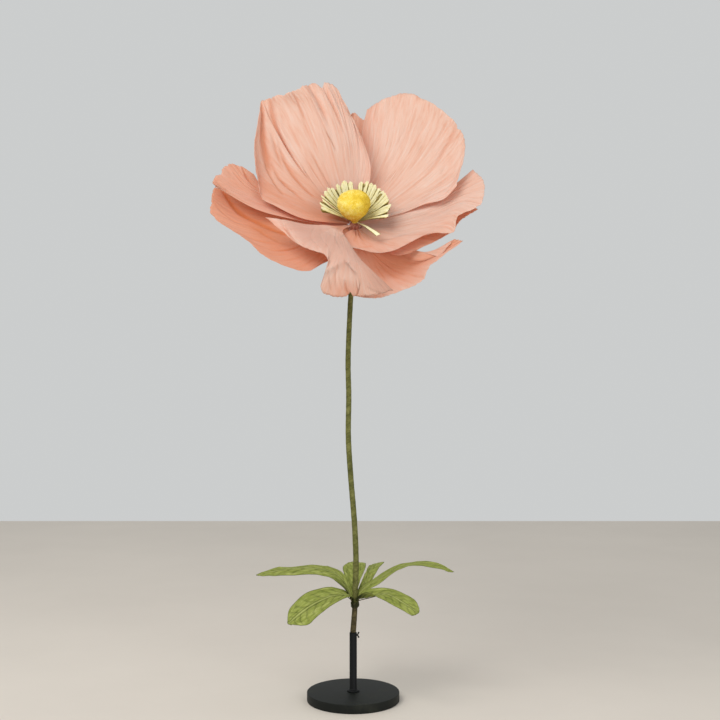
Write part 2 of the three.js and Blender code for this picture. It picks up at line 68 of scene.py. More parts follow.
class Recipe:
    # one material or world, and the nodes that are added to it
    def __init__(self, owner):
        self.owner = owner
        owner.use_nodes = True
        self.tree = owner.node_tree
        self.tree.nodes.clear()

    def node(self, kind, settings=None, sockets=None, out=0):
        made = self.tree.nodes.new(kind)
        for key, value in (settings or {}).items():
            if key == "stops":
                steps = made.color_ramp.elements
                while len(steps) < len(value):
                    steps.new(0.5)
                for step, (place, colour) in zip(steps, value):
                    step.position = place
                    step.color = (*colour, 1)
            else:
                setattr(made, key, value)
        for key, value in (sockets or {}).items():
            if isinstance(value, Amount):
                self.tree.links.new(value.socket, made.inputs[key])
            elif value is not None:
                made.inputs[key].default_value = value
        return None if out is None else Amount(self, made.outputs[out])

    def maths(self, operation, first, second=0.0, clamp=False):
        settings = {"operation": operation, "use_clamp": clamp}
        return self.node("ShaderNodeMath", settings, {0: first, 1: second})

    def step(self, value, low, high):
        # 0 below low, 1 above high, smooth between
        return self.node("ShaderNodeMapRange", {"interpolation_type": "SMOOTHSTEP"},
                         {"Value": value, "From Min": low, "From Max": high})

    def attribute(self, name):
        return self.node("ShaderNodeAttribute", {"attribute_name": name}, out="Vector")

    def part(self, vector, index):
        # one number of a vector
        return self.node("ShaderNodeSeparateXYZ", {}, {0: vector}, out=index)

    def objectPlace(self):
        return self.node("ShaderNodeTexCoord", out="Object")

    def stretched(self, vector, scale):
        return self.node("ShaderNodeMapping", {}, {"Vector": vector, "Scale": scale})

    def cloud(self, vector, scale=1.0, detail=3.0, rough=0.5, warp=0.0):
        return self.node("ShaderNodeTexNoise", {}, {"Vector": vector, "Scale": scale, "Detail": detail,
                                                    "Roughness": rough, "Distortion": warp})

    def mix(self, share, first, second):
        # colours are sockets 6 and 7 of a Mix node set to colour
        pair = [(*c, 1) if isinstance(c, tuple) else c for c in (first, second)]
        return self.node("ShaderNodeMix", {"data_type": "RGBA"}, {0: share, 6: pair[0], 7: pair[1]}, out=2)

    def shaded(self, shade, look, ends):
        # the look's deep, body and pale colours over the shade, with the body at its middle
        low, high = ends
        stops = [(low, look["deep"]), (0.5, look["body"]), (high, look["pale"])]
        return self.node("ShaderNodeValToRGB", {"stops": stops}, {"Fac": shade})

    def marked(self, colour, flat, over, under):
        # the sheet's tone brings in one colour above 0 and another below it
        tone = self.part(flat, 2)
        colour = self.mix(self.maths("MAXIMUM", tone, 0, clamp=True), colour, over)
        return self.mix(self.maths("MAXIMUM", 0 - tone, 0, clamp=True), colour, under)

    def blend(self, share, first, second):
        return self.node("ShaderNodeMixShader", {}, {0: share, 1: first, 2: second})

    def bump(self, height, depth, strength):
        return self.node("ShaderNodeBump", {}, {"Height": height, "Distance": depth, "Strength": strength})

    def finish(self, surface, kind="ShaderNodeOutputMaterial"):
        self.node(kind, {}, {"Surface": surface}, out=None)
        return self.owner

    def plain(self, colour, rough, normal=None, **rest):
        sockets = {"Base Color": (*colour, 1) if isinstance(colour, tuple) else colour,
                   "Roughness": rough, "Normal": normal}
        sockets.update({key.replace("_", " "): value for key, value in rest.items()})
        return self.node("ShaderNodeBsdfPrincipled", {}, sockets)

    def paper(self, look, colour, rough, normal, **rest):
        # a matt sheet that lets part of the light through
        sheet = self.plain(colour, rough, normal, **rest)
        through = self.node("ShaderNodeBsdfTranslucent", {},
                            {"Color": (*look["through"], 1), "Normal": normal})
        return self.finish(self.blend(look["throughShare"], sheet, through))


def newRecipe(name):
    return Recipe(bpy.data.materials.new(name))


# curves and sheets

def splinePoint(knots, share, slack=None):
    # the uniform Catmull-Rom curve through the knots, as the CAD draws it
    # slack below 1 at a knot draws the curve tighter there, and 0 makes a corner
    spans = len(knots) - 1
    place = min(share * spans, spans - 1e-9)
    i = int(place)
    t = place - i
    a, b = knots[i], knots[i + 1]
    before = knots[i - 1] if i > 0 else 2 * a - b
    after = knots[i + 2] if i + 2 <= spans else 2 * b - a
    leave, arrive = (b - before) * 0.5, (after - a) * 0.5
    if slack:
        leave, arrive = leave * slack.get(i, 1), arrive * slack.get(i + 1, 1)
    return (a * (2 * t ** 3 - 3 * t ** 2 + 1) + leave * (t ** 3 - 2 * t ** 2 + t)
            + b * (3 * t ** 2 - 2 * t ** 3) + arrive * (t ** 3 - t ** 2))


def sheetPoint(ribs, u, v, slack=None):
    # the point at the share u across the ribs and v along them
    return splinePoint([splinePoint(rib, v) for rib in ribs], u, slack)


def pathLength(points):
    return sum((b - a).length for a, b in zip(points, points[1:]))


def headingOf(point):
    return atan2(point[1], point[0])


def roundAxis(heading, radius, height):
    return Vector((cos(heading) * radius, sin(heading) * radius, height))


def wander(place):
    # smooth noise, about -1 to 1
    return noise.noise(Vector(place))


def linked(name, data):
    made = bpy.data.objects.new(name, data)
    bpy.context.scene.collection.objects.link(made)
    return made


def meshOf(name, bm, material):
    mesh = bpy.data.meshes.new(name)
    bm.to_mesh(mesh)
    bm.free()
    mesh.materials.append(material)
    return mesh


def objectOf(name, bm, node, slot, material):
    mesh = meshOf(name, bm, material)
    mesh.polygons.foreach_set("use_smooth", [True] * len(mesh.polygons))
    piece = linked(name, mesh)
    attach(piece, "root")
    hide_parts(node)
    return piece


def thicken(piece, thick):
    wall = piece.modifiers.new("paper thickness", "SOLIDIFY")
    wall.thickness = thick
    wall.offset = 0


def smoothBump(x):
    return exp(-x * x)


def foldDepth(folds, u, v):
    # how far the listed folds push the sheet at u, v
    depth = 0.0
    for uStart, vStart, uEnd, vEnd, width, push in folds:
        along = (v - vStart) / (vEnd - vStart)
        if 0 < along < 1:
            off = abs(u - uStart - (uEnd - uStart) * along) / width
            if off < 1:
                depth += push * (1 - off) ** 1.6 * sin(pi * along) ** 0.6
    return depth


def shadePatches(spots, u, v):
    # soft patches of painted shade, each [across, along, width, length, amount]
    return sum(much * exp(-((u - uAt) / uWide) ** 2 - ((v - vAt) / vWide) ** 2)
               for uAt, vAt, uWide, vWide, much in spots)


def spreadSheet(name, ribs, columns, rows, trim, lift, place, thick, node, slot, material, slack=None,
                tone=lambda u, v: 0):
    # a grid bent through the ribs, then pushed along its own normals, up is positive
    bm = bmesh.new()
    bmesh.ops.create_grid(bm, x_segments=columns, y_segments=rows, size=0.5)
    layer = bm.verts.layers.float_vector.new("paper")
    wide = pathLength([sheetPoint(ribs, i / 20, 0.6) for i in range(21)])
    long = pathLength([sheetPoint(ribs, 0.5, i / 20) for i in range(21)])
    spots = {}
    for vertex in bm.verts:
        u, v = vertex.co.x + 0.5, vertex.co.y + 0.5
        spots[vertex] = (u, v)
        reach = v * trim(u)
        vertex.co = sheetPoint(ribs, u, reach, slack)
        vertex[layer] = (u * wide * mm, reach * long * mm, tone(u, v))
    bm.normal_update()
    facing = 1 if sum(vertex.normal.z for vertex in bm.verts) > 0 else -1
    pushes = {vertex: vertex.normal * facing * lift(*spot) for vertex, spot in spots.items()}
    for vertex, push in pushes.items():
        vertex.co += push
    bmesh.ops.transform(bm, matrix=place, verts=bm.verts)
    thicken(objectOf(name, bm, node, slot, material), thick)


# materials

def petalCrepe(look):
    # thin dyed crepe: fine grain and wrinkles along the petal, a soft mottle, and painted shade from the
    # sheet's tone: orange above 0, greyer below
    crepe = newRecipe(look["name"])
    flat = crepe.attribute("paper")
    grain = crepe.cloud(crepe.stretched(flat, (520, 18, 0)), detail=4, rough=0.6, warp=0.2)
    streak = crepe.cloud(crepe.stretched(flat, (110, 7, 0)), detail=3, rough=0.55, warp=0.4)
    patch = crepe.cloud(crepe.stretched(flat, (16, 9, 0)), detail=2)
    wrinkle = crepe.cloud(crepe.stretched(flat, (240, 20, 0)), detail=2, rough=0.5, warp=0.8)
    shade = (grain - 0.5) * look["grainShade"] + (streak - 0.5) * look["streakShade"] + (patch - 0.5) * 0.25
    shade = shade + (wrinkle - 0.5) * look["wrinkleShade"] + 0.5
    colour = crepe.marked(crepe.shaded(shade, look, (0.22, 0.8)), flat, look["paintedWarmShade"], look["paintedGreyShade"])
    normal = crepe.bump(streak * 0.5 + wrinkle * 0.5 + grain * 0.2, look["grainDepth"], 0.9)
    return crepe.paper(look, colour, 0.82, normal, Specular_IOR_Level=0.25, Sheen_Weight=0.15,
                       Sheen_Roughness=0.6)


def leafCrepe(look):
    # stiffer crepe with blotches; the sheet's tone darkens and lightens it, with painted shade at the root
    # and on shaded places
    crepe = newRecipe("leafCrepe")
    flat = crepe.attribute("paper")
    grain = crepe.cloud(crepe.stretched(flat, (600, 40, 0)), detail=4, rough=0.6)
    patch = crepe.cloud(crepe.stretched(flat, (60, 26, 0)), detail=4, rough=0.65)
    streak = crepe.cloud(crepe.stretched(flat, (260, 30, 0)), detail=3, rough=0.6, warp=0.6)
    shade = (grain - 0.5) * 0.8 + (patch - 0.5) * 0.9 + (streak - 0.5) + 0.5
    colour = crepe.marked(crepe.shaded(shade, look, (0.2, 0.8)), flat, look["darkMarkAndShade"], look["light"])
    normal = crepe.bump(grain * 0.4 + patch * 0.5 + streak * 0.5, look["grainDepth"], 0.9)
    return crepe.paper(look, colour, 0.75, normal, Specular_IOR_Level=0.3)


def strawCrepe(look):
    # pale tongues: the sheet's tone makes them paler towards the tips, and paints shade in the slits and on
    # the lower layer
    crepe = newRecipe("strawCrepe")
    flat = crepe.attribute("paper")
    grain = crepe.cloud(crepe.stretched(flat, (700, 60, 0)), detail=3)
    speck = crepe.cloud(crepe.objectPlace(), scale=260, detail=4, rough=0.7)
    shade = (grain - 0.5) * 0.8 + (speck - 0.5) * 0.6 + crepe.part(flat, 2) * 0.45 + 0.42
    colour = crepe.shaded(shade, look, (0.15, 0.8))
    return crepe.paper(look, colour, 0.8, crepe.bump(grain, 0.0006, 0.9), Specular_IOR_Level=0.25)


def yellowCrumple(look):
    # crumpled paper, with painted light: paler towards the left side, deeper gold to the right
    crepe = newRecipe("yellowCrumple")
    place = crepe.objectPlace()
    speck = crepe.cloud(place, scale=520, detail=3, rough=0.7)
    cloudy = crepe.cloud(place, scale=55, detail=4, rough=0.6)
    across = crepe.part(place, 0) - look["paintedLightCentreX"]
    shade = (speck - 0.5) * 0.9 + (cloudy - 0.5) * 0.9 + 0.52 - across * 3
    normal = crepe.bump(speck * 0.5 + cloudy, 0.0012, 0.8)
    return crepe.finish(crepe.plain(crepe.shaded(shade, look, (0.2, 0.78)), 0.75, normal,
                                    Specular_IOR_Level=0.3))


def woundTape(look):
    # crepe tape wound in a spiral: one dark seam a turn, fine creases across it
    tape = newRecipe(look["name"])
    wound = tape.attribute("wound")
    x, y, along = (tape.part(wound, i) for i in range(3))
    turn = tape.maths("ARCTAN2", y, x) / (2 * pi)
    phase = tape.maths("FRACT", along / look["pitch"] - turn)
    edge = tape.maths("ABSOLUTE", phase - 0.5) * 2
    seam = tape.step(edge, 0.78, 0.98)
    unrolled = tape.node("ShaderNodeCombineXYZ", {}, {0: turn * 10, 1: along * 900, 2: phase})
    pucker = tape.cloud(unrolled, detail=3)
    mottle = tape.cloud(tape.objectPlace(), scale=60, detail=4, rough=0.65)
    shade = (mottle - 0.5) * 0.9 + (pucker - 0.5) * 0.7 + 0.55 - seam * look["seam"]
    normal = tape.bump(pucker * 0.35 + mottle * 0.3 - seam * 0.5, look["relief"], 0.9)
    return tape.finish(tape.plain(tape.shaded(shade, look, (0.15, 0.85)), 0.8, normal,
                                  Specular_IOR_Level=0.3))


def satinBlack(look):
    # sprayed paint with orange peel and a little dust
    paint = newRecipe(look["name"])
    place = paint.objectPlace()
    orangePeel = paint.cloud(place, scale=420, detail=3)
    dust = paint.cloud(place, scale=26, detail=5, rough=0.65)
    colour = paint.mix(paint.step(dust, 0.45, 0.75) * 0.6, look["body"], look["dusty"])
    normal = paint.bump(orangePeel, 0.00008, 0.6)
    return paint.finish(paint.plain(colour, dust * 0.18 + look["rough"], normal, Specular_IOR_Level=0.22))


def paleStone(look):
    stone = newRecipe("paleFloor")
    mottle = stone.cloud(stone.objectPlace(), scale=1.3, detail=6, rough=0.6)
    colour = stone.mix(mottle, look["dark"], look["light"])
    return stone.finish(stone.plain(colour, 0.75, Specular_IOR_Level=0.2))


petalLook = {
    "name": "petalCrepe",
    "deep": (0.77, 0.50, 0.37), "body": (0.83, 0.65, 0.53), "pale": (0.86, 0.77, 0.68),
    # painted shade colours: orange for shaded places and creases, greyer for the front petal's flap
    "paintedWarmShade": (0.69, 0.255, 0.105), "paintedGreyShade": (0.62, 0.44, 0.35),
    "through": (0.93, 0.46, 0.26), "throughShare": 0.42,
    "grainShade": 0.5, "streakShade": 0.7, "wrinkleShade": 0.7, "grainDepth": 0.0020,
}
# the heart's painted shade is a dark maroon, for the pleat valleys of its cone
heartLook = dict(petalLook, name="heartCrepe", deep=(0.80, 0.38, 0.26), body=(0.88, 0.50, 0.36),
                 pale=(0.92, 0.60, 0.46), paintedWarmShade=(0.22, 0.03, 0.02))
leafLook = {
    "deep": (0.16, 0.19, 0.03), "body": (0.33, 0.37, 0.075), "pale": (0.52, 0.55, 0.17),
    "darkMarkAndShade": (0.035, 0.036, 0.010), "light": (0.58, 0.60, 0.24),
    "through": (0.33, 0.50, 0.06), "throughShare": 0.25, "grainDepth": 0.0016,
}
oliveLook = {
    "name": "oliveTape", "pitch": 0.022, "relief": 0.0005, "seam": 0.16,
    "deep": (0.036, 0.040, 0.008), "body": (0.10, 0.102, 0.022), "pale": (0.22, 0.215, 0.07),
}
brownLook = {
    "name": "brownTape", "pitch": 0.016, "relief": 0.0006, "seam": 0.25,
    "deep": (0.022, 0.018, 0.006), "body": (0.068, 0.052, 0.020), "pale": (0.16, 0.125, 0.055),
}
# a darker copy of the tape, painted shade for the sleeve under the leaves
shadedSleeveLook = dict(brownLook, name="darkTape", deep=(0.014, 0.014, 0.005), body=(0.038, 0.036, 0.012),
                pale=(0.08, 0.075, 0.03))
blackLook = {
    "name": "satinBlack", "body": (0.004, 0.0055, 0.004), "dusty": (0.021, 0.022, 0.015), "rough": 0.5,
}
# a darker copy of the base paint for the socket tube, painted shade
shadedTubeLook = dict(blackLook, name="tubeBlack", body=(0.0015, 0.002, 0.0025), dusty=(0.004, 0.005, 0.005))
pistilLook = {
    "deep": (0.50, 0.28, 0.01), "body": (0.74, 0.51, 0.035), "pale": (0.86, 0.72, 0.24), "paintedLightCentreX": 0.0047,
}
strawLook = {
    "deep": (0.22, 0.15, 0.03), "body": (0.82, 0.74, 0.34), "pale": (0.96, 0.93, 0.66),
    "through": (0.85, 0.75, 0.20), "throughShare": 0.25,
}
stoneLook = {"dark": (0.62, 0.565, 0.50), "light": (0.72, 0.66, 0.585)}

petalPaper = petalCrepe(petalLook)
heartPaper = petalCrepe(heartLook)
leafPaper = leafCrepe(leafLook)
oliveTape = woundTape(oliveLook)
brownTape = woundTape(brownLook)
darkTape = woundTape(shadedSleeveLook)
blackPaint = satinBlack(blackLook)
shadedTubePaint = satinBlack(shadedTubeLook)
pistilPaper = yellowCrumple(pistilLook)
strawPaper = strawCrepe(strawLook)
floorStone = paleStone(stoneLook)
print("materials ready")


# petals

hub = {
    "place": Vector((4.7, -83, 1124)), "tilt": radians(42), "footRadius": 13.7, "top": 5,
    # how much painted shade the petals' creases get, and how far the painted dark rays reach from each foot
    "paperThick": 0.6 * mm, "creaseShadeShare": 0.10, "shadeRayReach": 0.16,
}
metres = Matrix.Scale(mm, 4)
bloomPlace = metres @ Matrix.Translation(hub["place"]) @ Matrix.Rotation(hub["tilt"], 4, "X")

# ribs as in the CAD: [across, up, lift] in mm from the hub, foot to tip
# folds: [start across, start along, end across, end along, width, push in mm]
# notches: [across, half width, depth]; painted shade patches: [across, along, width, length, amount]
petals = {
    "back_left": {
        "level": 0, "size": (200, 64), "ripple": 3, "ragged": 0.012, "seed": 1,
        "ribs": [
            [[-115, 5, 10], [-190, 35, 30], [-215, 45, 40], [-220, 65, 60]],
            [[-85, 55, 20], [-180, 100, 55], [-230, 135, 90], [-235, 145, 120]],
            [[-75, 75, 30], [-150, 160, 85], [-200, 235, 130], [-225, 290, 160]],
            [[-50, 95, 30], [-95, 195, 105], [-130, 260, 155], [-160, 280, 185]],
            [[-25, 100, 35], [-50, 185, 110], [-80, 260, 160], [-105, 315, 190]],
            [[-5, 100, 35], [-10, 180, 100], [-30, 250, 150], [-55, 330, 180]],
            [[5, 85, 30], [10, 155, 80], [5, 205, 115], [-25, 275, 160]],
            [[15, 65, 25], [35, 105, 50], [35, 140, 80], [15, 195, 115]]],
        "folds": [
            [0.285, 1.04, 0.15, 0.56, 0.034, -9.8],
            [0.342, 1.06, 0.262, 0.34, 0.02, -8.4],
            [0.372, 1.04, 0.3, 0.5, 0.022, 4.2],
            [0.292, 0.97, 0.29, 0.48, 0.013, -4.9],
            [0.25, 0.64, 0.165, 0.28, 0.014, -5.6],
            [0.458, 1.06, 0.405, 0.6, 0.014, -4.9],
            [0.51, 1.06, 0.542, 0.52, 0.034, 7],
            [0.548, 1.06, 0.566, 0.6, 0.02, -4.2],
            [0.522, 0.58, 0.562, 0.44, 0.008, -6.3],
            [0.312, 0.44, 0.28, 0.3, 0.01, -4.2],
            [0.372, 0.49, 0.412, 0.24, 0.011, -3.5],
            [0.345, 0.46, 0.36, 0.28, 0.01, -2.8],
            [0.172, 0.67, 0.08, 0.44, 0.011, -5.6],
            [0.18, 0.61, 0.108, 0.32, 0.012, -5.6],
            [0.25, 0.72, 0.195, 0.5, 0.012, -4.2],
            [0.63, 0.98, 0.668, 0.56, 0.013, -5.6],
            [0.655, 0.98, 0.69, 0.6, 0.016, 4.2],
            [0.74, 1.02, 0.7, 0.4, 0.012, -2.1]],
        "notches": [[0.622, 0.03, 0.055], [0.345, 0.012, 0.02], [0.402, 0.016, 0.02],
                    [0.47, 0.012, 0.014]],
        "slack": {2: 0.25, 3: 0.8},
        "paintedShades": [[0.06, 0.6, 0.07, 0.5, 0.55], [0.2, 0.55, 0.05, 0.3, 0.25],
                  [0.75, 0.16, 0.3, 0.1, 0.15], [0.33, 0.32, 0.2, 0.1, 0.15],
                  [0.05, 0.1, 0.35, 0.22, 0.5]]},
    "back_right": {
        "level": -3, "size": (180, 60), "ripple": 2, "ragged": 0.008, "seed": 2,
        "ribs": [
            [[10, 95, 15], [15, 175, 50], [15, 250, 85], [30, 330, 110]],
            [[25, 115, 20], [50, 205, 70], [60, 280, 110], [70, 330, 140]],
            [[45, 115, 20], [95, 200, 75], [115, 270, 120], [130, 340, 150]],
            [[70, 95, 20], [135, 170, 70], [180, 245, 115], [195, 280, 150]],
            [[85, 70, 20], [165, 125, 60], [220, 190, 95], [250, 215, 125]],
            [[105, 45, 15], [180, 75, 45], [235, 110, 70], [260, 165, 95]],
            [[110, 30, 10], [160, 35, 30], [205, 35, 45], [235, 60, 65]]],
        "folds": [
            [0.632, 1.05, 0.69, 0.48, 0.022, -4],
            [0.6, 1.05, 0.64, 0.5, 0.024, 2],
            [0.583, 0.92, 0.602, 0.5, 0.012, -1.4],
            [0.392, 0.74, 0.28, 0.4, 0.014, -1.3],
            [0.43, 0.8, 0.34, 0.45, 0.012, -1],
            [0.497, 0.64, 0.511, 0.54, 0.006, -2],
            [0.512, 0.64, 0.524, 0.55, 0.006, -1.5],
            [0.735, 0.67, 0.772, 0.57, 0.01, -2],
            [0.452, 0.41, 0.39, 0.27, 0.01, -1.8],
            [0.48, 0.4, 0.42, 0.24, 0.01, -1.5],
            [0.8, 0.8, 0.86, 0.35, 0.02, -1.5]],
        "notches": [[0.655, 0.02, 0.03], [0.42, 0.06, 0.012]],
        "paintedShades": [[0.04, 0.5, 0.05, 0.6, 0.35], [0.45, 0.25, 0.4, 0.1, 0.12]]},
    "right": {
        "level": -6, "size": (180, 56), "ripple": 1.5, "ragged": 0.008, "seed": 3,
        "ribs": [
            [[95, 40, 5], [175, 70, 20], [235, 105, 40], [280, 145, 55]],
            [[100, 15, 5], [185, 40, 25], [250, 65, 45], [300, 75, 65]],
            [[100, -5, 5], [185, 15, 20], [245, 30, 40], [285, -10, 60]],
            [[95, -30, 5], [170, -15, 20], [220, -10, 35], [235, -25, 40]],
            [[80, -45, 0], [150, -40, 10], [200, -50, 25], [220, -75, 30]],
            [[50, -55, -5], [100, -60, 5], [145, -65, 10], [165, -65, 20]],
            [[10, -50, 0], [35, -85, 0], [60, -110, 0], [85, -100, 0]],
            [[-10, -25, 0], [-36, -46, 0], [-26, -78, 0], [5, -95, 0]]],
        "folds": [
            [0.867, 0.42, 0.8, -0.1, 0.024, -2.5],
            [0.93, 0.5, 0.86, -0.1, 0.02, -2.5],
            [0.78, 0.45, 0.72, -0.1, 0.02, -2],
            [0.945, 0.68, 0.845, 0.48, 0.018, -2],
            [0, 0.18, 0.24, 0.47, 0.02, -1.6],
            [0.08, 0.22, 0.3, 0.52, 0.018, -1.2],
            [0.325, 0.26, 0.46, 0.53, 0.02, -1.6],
            [0.4, 0.55, 0.42, 0.95, 0.014, -1.5],
            [0.25, 0.5, 0.28, 1.02, 0.014, -1.8],
            [0.55, 0.5, 0.56, 1, 0.014, -1.3]],
        "notches": [[0.3, 0.02, 0.016], [0.62, 0.02, 0.02]],
        "paintedShades": [[0.92, 0.3, 0.18, 0.5, 0.55], [0.6, 0.75, 0.2, 0.3, 0.15],
                  [0.6, 0.15, 0.5, 0.15, 0.3]]},
    "left": {
        "level": -9, "size": (90, 56), "ripple": 1.5, "ragged": 0.012, "seed": 4,
        "ribs": [
            [[-80, 50, 0], [-165, 90, 20], [-220, 105, 40], [-240, 120, 60]],
            [[-85, 40, 0], [-175, 80, 20], [-240, 105, 45], [-275, 135, 75]],
            [[-85, 30, 0], [-180, 65, 15], [-255, 85, 45], [-305, 125, 80]],
            [[-85, 20, -5], [-185, 50, 10], [-265, 60, 40], [-330, 70, 75]],
            [[-75, 5, -5], [-150, 15, 5], [-230, 25, 25], [-325, 65, 60]]],
        "folds": [
            [0.19, 1.02, 0.35, 0.68, 0.05, -4],
            [0.7, 1.02, 0.95, 0.78, 0.05, -3],
            [0.45, 1.02, 0.5, 0.4, 0.04, -1.5]],
        "notches": [[0.62, 0.05, 0.03], [0.25, 0.05, 0.02]],
        "paintedShades": [[0.5, 0.5, 9, 9, 0.42]]},
    "front_left": {
        "level": -15, "size": (170, 60), "ripple": 1.5, "ragged": 0.01, "seed": 5,
        "ribs": [
            [[-80, 45, -10], [-175, 65, -5], [-270, 90, 15], [-335, 95, 40]],
            [[-85, 25, -10], [-185, 30, -10], [-280, 45, 0], [-335, 55, 35]],
            [[-85, 5, -15], [-180, -10, -15], [-255, -15, 0], [-330, 5, 20]],
            [[-75, -20, -15], [-155, -60, -15], [-210, -75, -5], [-250, -70, 10]],
            [[-60, -40, -10], [-115, -90, -15], [-155, -120, -10], [-195, -130, 0]],
            [[-40, -55, -10], [-70, -105, -15], [-95, -140, -15], [-110, -165, -10]],
            [[-10, -65, -10], [-30, -100, -10], [-45, -115, -10], [-65, -120, -10]]],
        "folds": [
            [-0.01, 0.94, 0.2, 0.66, 0.042, -6],
            [0.12, 0.76, 0.41, 0.4, 0.042, -6],
            [0.27, 0.7, 0.52, 0.49, 0.03, -2.5],
            [0.55, 0.76, 0.575, 0.4, 0.02, -2.5],
            [0.2, 0.98, 0.31, 0.74, 0.02, -2],
            [0.42, 0.95, 0.48, 0.55, 0.02, -1.5],
            [0.68, 0.95, 0.7, 0.45, 0.02, -1.5]],
        "paintedShades": [[0.5, 0.5, 9, 9, 0.62], [0.3, 0.62, 0.2, 0.14, 0.2]]},
    "front": {
        "level": 3, "size": (200, 64), "ripple": 1.5, "ragged": 0.01, "seed": 6,
        "ribs": [
            [[-44, -28, 14], [-72, -40, 25], [-112, -45, 31], [-160, -40, 40], [-205, -30, 40]],
            [[-42, -31, 14], [-62, -62, 27], [-86, -92, 35], [-112, -108, 36], [-120, -125, 30]],
            [[-40, -33, 14], [-50, -76, 28], [-54, -118, 35], [-60, -148, 36], [-60, -170, 30]],
            [[-38, -35, 14], [-41, -84, 28], [-42, -138, 36], [-55, -174, 20], [-75, -206, -24]],
            [[-36, -37, 14], [-33, -88, 28], [-27, -158, 37], [-35, -190, 6], [-52, -216, -42]],
            [[-34, -39, 14], [-27, -91, 28], [-11, -174, 37], [-5, -202, 8], [-2, -221, -38]],
            [[-32, -41, 14], [-22, -93, 27], [0, -174, 34], [10, -206, 14], [18, -231, -30]],
            [[-30, -43, 14], [-19, -95, 26], [7, -171, 31], [26, -207, 17], [49, -237, -20]],
            [[-28, -45, 14], [-16, -98, 25], [11, -170, 30], [42, -208, 20], [85, -235, -10]]],
        "folds": [
            [-0.05, 0.47, 1.05, 0.33, 0.11, -3.2],
            [0.005, 0.82, 0.125, 1.04, 0.03, -7],
            [0.033, 0.79, 0.13, 0.98, 0.016, -2.5],
            [0.03, 0.5, 0.225, 0.86, 0.018, -2.6],
            [0.08, 0.46, 0.3, 0.8, 0.016, -2],
            [0.28, 0.42, 0.545, 0.66, 0.018, -2.2],
            [0.275, 1, 0.542, 0.66, 0.055, 5],
            [0.53, 0.64, 0.715, 0.8, 0.05, 5],
            [0.752, 0.87, 0.62, 1.03, 0.014, -5],
            [0.79, 0.92, 0.945, 1.03, 0.022, -3.5],
            [0.556, 0.85, 0.598, 1.04, 0.014, -4.5],
            [0.385, 0.83, 0.495, 0.98, 0.016, -3],
            [0.43, 0.75, 0.525, 0.96, 0.016, -3],
            [0.47, 0.74, 0.56, 0.95, 0.014, -2.4],
            [0.66, 0.8, 0.675, 1.03, 0.016, -2.4]],
        "notches": [[0.6, 0.02, 0.03]],
        "paintedShades": [[0.5, 0.5, 9, 9, -0.9], [0.56, 1, 0.34, 0.27, 1.25],
                  [0.5, 0.15, 9, 0.24, 1.4], [0, 1, 0.12, 0.14, 1.1],
                  [1, 1, 0.14, 0.3, -0.5]]},
    "front_right": {
        "level": -18, "size": (150, 56), "ripple": 1.2, "ragged": 0.01, "seed": 7,
        "ribs": [
            [[55, -45, -15], [95, -60, -20], [140, -75, -20], [190, -115, -10]],
            [[50, -45, -15], [100, -60, -25], [155, -90, -20], [224, -86, 20]],
            [[45, -50, -15], [100, -70, -35], [155, -105, -25], [242, -94, 20]],
            [[35, -60, -15], [85, -85, -45], [135, -100, -45], [170, -145, -10]],
            [[20, -60, -15], [70, -90, -55], [115, -125, -55], [150, -175, -30]],
            [[10, -60, -15], [45, -95, -55], [75, -140, -60], [105, -190, -45]],
            [[0, -60, -15], [20, -100, -50], [35, -145, -60], [50, -205, -55]],
            [[-5, -60, -10], [0, -95, -45], [-5, -135, -60], [-5, -190, -60]]],
        "folds": [
            [0.665, 0.42, 0.722, 0.74, 0.018, -2],
            [0.6, 0.4, 0.64, 0.75, 0.018, -1.8],
            [0.54, 0.35, 0.56, 0.75, 0.018, -1.6],
            [0.93, 0.63, 0.778, 0.94, 0.024, -3],
            [0.3, 0.5, 0.33, 0.95, 0.018, -1.4]],
        "notches": [[0.42, 0.02, 0.03]],
        "slack": {1: 0.2, 2: 0.2},
        "paintedShades": [[0.45, 0.55, 0.5, 0.42, 0.72], [0.2, 0.95, 0.1, 0.16, 0.45]]},
    "right_outer": {
        "level": -12, "size": (120, 50), "ripple": 1.2, "ragged": 0.012, "seed": 8,
        "ribs": [
            [[95, 20, -5], [180, 60, 0], [250, 60, 15], [285, 15, 30]],
            [[90, -5, -5], [165, 15, -5], [225, 15, 5], [245, -5, 15]],
            [[80, -30, -10], [145, -20, -10], [195, -30, 0], [215, -45, 5]],
            [[55, -50, -10], [105, -60, -10], [140, -75, -10], [155, -75, -10]],
            [[35, -60, -10], [65, -85, -15], [95, -100, -15], [120, -95, -15]]],
        "folds": [
            [0.3, 0.5, 0.32, 1, 0.024, -1.5],
            [0.6, 0.5, 0.62, 1, 0.024, -1.5]],
        "paintedShades": [[0.5, 0.5, 9, 9, 0.55]]},
    "back_outer": {
        "level": -20, "size": (60, 60), "ripple": 1.5, "ragged": 0.012, "seed": 9,
        "ribs": [
            [[-35, 115, 0], [-50, 225, 30], [-50, 315, 60], [-25, 330, 75]],
            [[-20, 125, 0], [-25, 240, 30], [-15, 335, 60], [-5, 370, 80]],
            [[-5, 125, 0], [10, 240, 30], [15, 315, 60], [15, 350, 75]],
            [[15, 115, 0], [45, 220, 30], [60, 290, 60], [45, 330, 70]]],
        "folds": [
            [0.35, 0.5, 0.4, 1.02, 0.06, -2],
            [0.65, 0.5, 0.62, 1.02, 0.06, -2]],
        "paintedShades": [[0.5, 0.5, 9, 9, 0.25]]},
}


def ribsFromHub(look):
    # each rib starts on the core's side, in the direction of its first knot
    feet = [roundAxis(headingOf(rib[0]), hub["footRadius"], look["level"]) for rib in look["ribs"]]
    return [[foot] + [Vector(knot) for knot in rib] for foot, rib in zip(feet, look["ribs"])]


